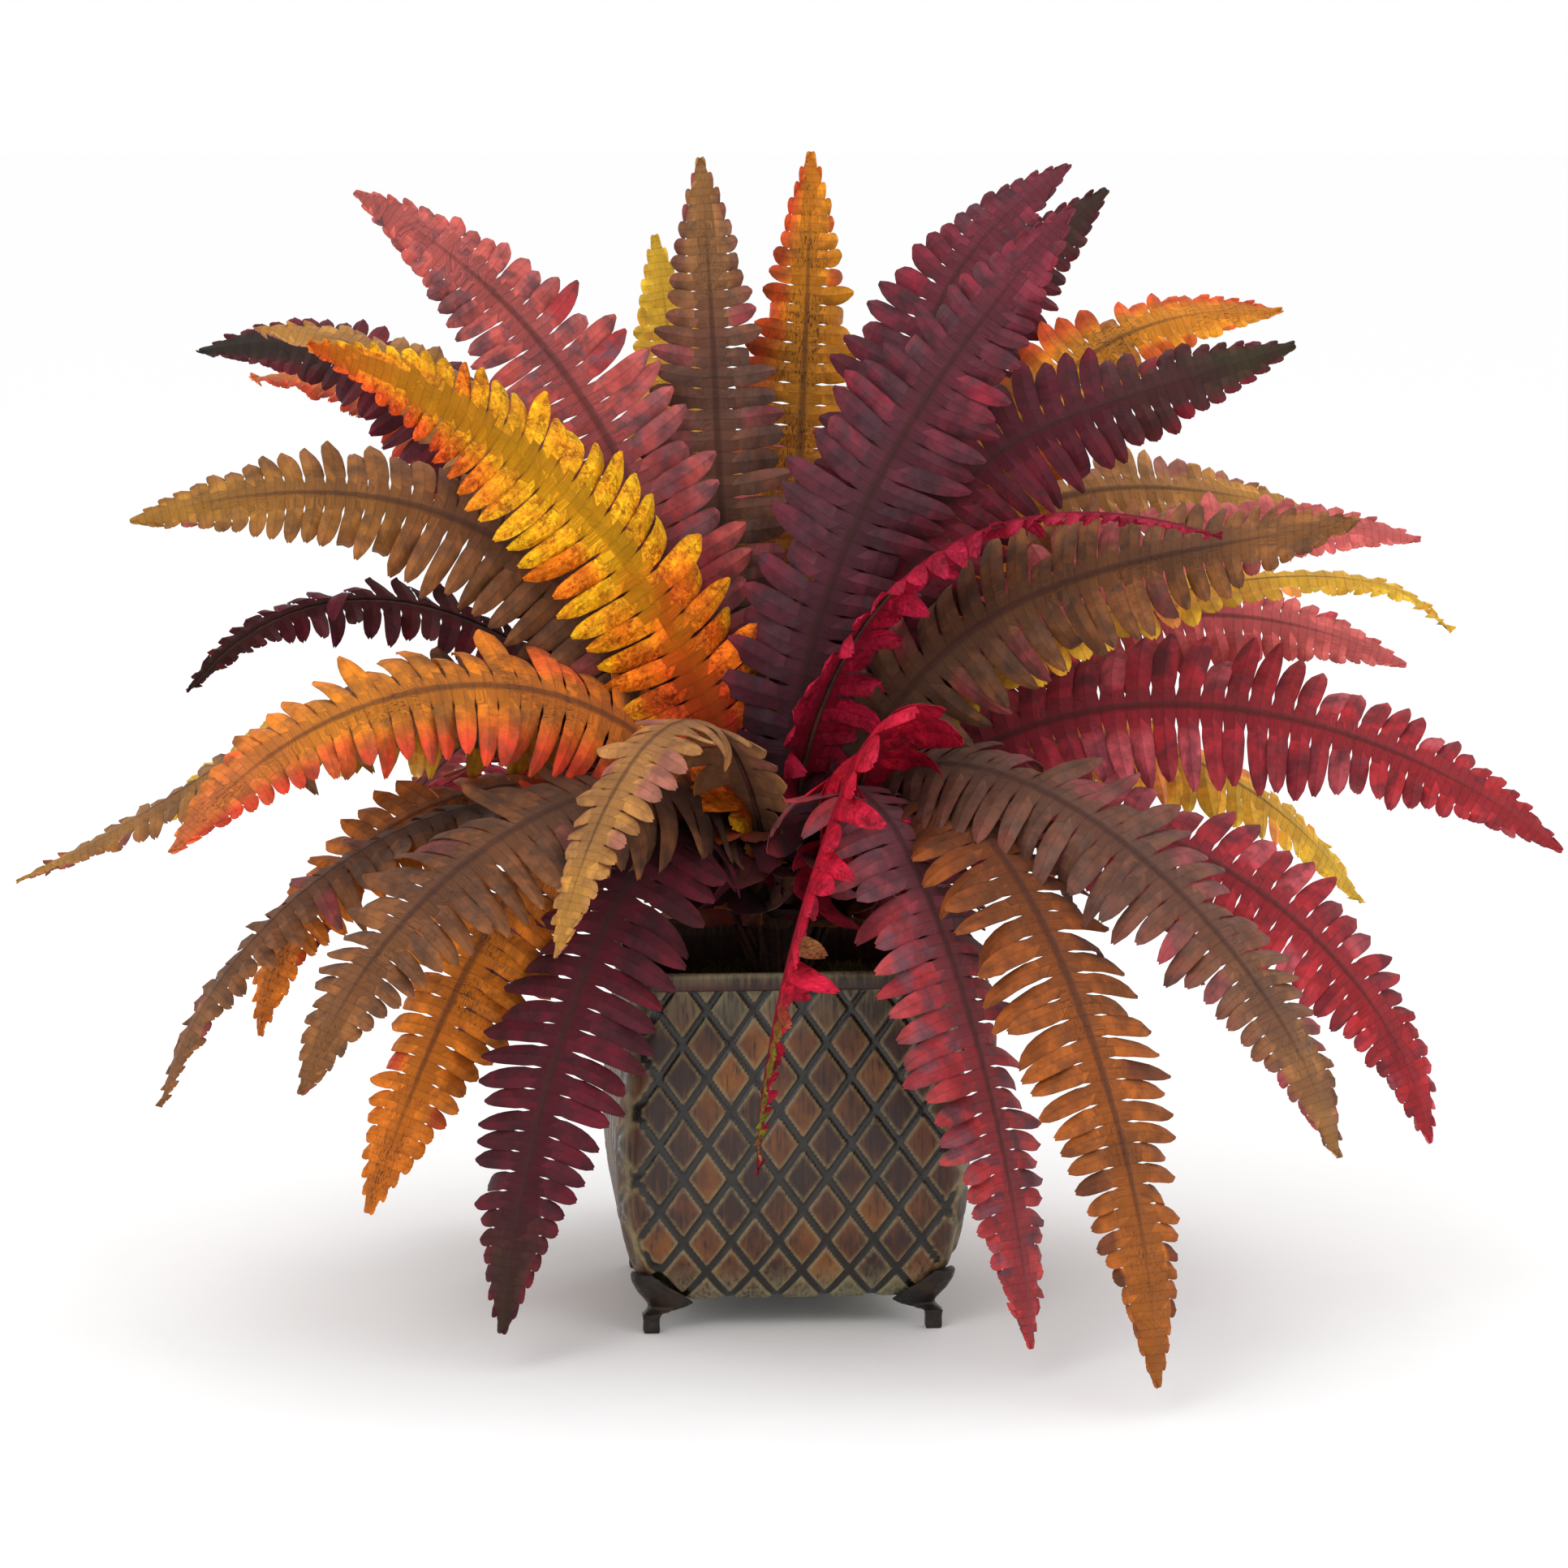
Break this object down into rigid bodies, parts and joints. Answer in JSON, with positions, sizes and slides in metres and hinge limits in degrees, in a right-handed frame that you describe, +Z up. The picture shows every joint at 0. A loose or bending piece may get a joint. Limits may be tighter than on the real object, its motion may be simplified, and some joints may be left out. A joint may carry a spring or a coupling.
{
  "type": "artificial potted fern",
  "caption": "Artificial autumn fern: arching printed-cloth fronds rising from a plastic crown, set in foam under moss in a square quilted metal planter on cast feet.",
  "frame": {"origin": "on the floor under the middle of the planter", "axes": "+Z up; -Y towards the front of the plant; +X towards its right, along the widest spread of the fronds"},
  "size_m": [0.6577, 0.4302, 0.495],
  "materials": {
    "planter_shell": "antiqued bronze and rust with rubbed pale edges, satin",
    "foot_iron": "dark bronze, satin",
    "foam_block": "porous, matt",
    "moss_cover": "fibrous, matt",
    "crown_stem": "moulded, dark",
    "frond_rose": "printed cloth, brown smudges",
    "frond_crimson": "velvet",
    "frond_burgundy": "printed cloth, olive tip",
    "frond_plum": "printed cloth",
    "frond_umber": "printed cloth, ochre tip",
    "frond_amber": "printed cloth, dark crackle near the midrib",
    "frond_gold": "velvet, red at the base"
  },
  "bodies": {
    "root": {"crown_stem": "crown_stem", "foam_block": "foam_block", "foot_back_left": "foot_iron", "foot_back_right": "foot_iron", "foot_front_left": "foot_iron", "foot_front_right": "foot_iron", "frond_amber_07": "frond_amber", "frond_amber_10": "frond_amber", "frond_amber_12": "frond_amber", "frond_amber_23": "frond_amber", "frond_amber_27": "frond_amber", "frond_amber_30": "frond_amber", "frond_amber_36": "frond_amber", "frond_amber_39": "frond_amber", "frond_burgundy_11": "frond_burgundy", "frond_burgundy_16": "frond_burgundy", "frond_burgundy_21": "frond_burgundy", "frond_burgundy_25": "frond_burgundy", "frond_burgundy_29": "frond_burgundy", "frond_burgundy_43": "frond_burgundy", "frond_burgundy_51": "frond_burgundy", "frond_crimson_01": "frond_crimson", "frond_crimson_18": "frond_crimson", "frond_crimson_38": "frond_crimson", "frond_crimson_49": "frond_crimson", "frond_gold_03": "frond_gold", "frond_gold_24": "frond_gold", "frond_gold_34": "frond_gold", "frond_gold_35": "frond_gold", "frond_gold_41": "frond_gold", "frond_gold_46": "frond_gold", "frond_plum_06": "frond_plum", "frond_plum_28": "frond_plum", "frond_plum_44": "frond_plum", "frond_plum_50": "frond_plum", "frond_rose_02": "frond_rose", "frond_rose_05": "frond_rose", "frond_rose_14": "frond_rose", "frond_rose_15": "frond_rose", "frond_rose_32": "frond_rose", "frond_rose_33": "frond_rose", "frond_rose_40": "frond_rose", "frond_rose_45": "frond_rose", "frond_rose_48": "frond_rose", "frond_umber_04": "frond_umber", "frond_umber_08": "frond_umber", "frond_umber_09": "frond_umber", "frond_umber_13": "frond_umber", "frond_umber_17": "frond_umber", "frond_umber_19": "frond_umber", "frond_umber_20": "frond_umber", "frond_umber_22": "frond_umber", "frond_umber_26": "frond_umber", "frond_umber_31": "frond_umber", "frond_umber_37": "frond_umber", "frond_umber_42": "frond_umber", "frond_umber_47": "frond_umber", "moss_cover": "moss_cover", "planter_shell": "planter_shell"}
  },
  "joints": []
}
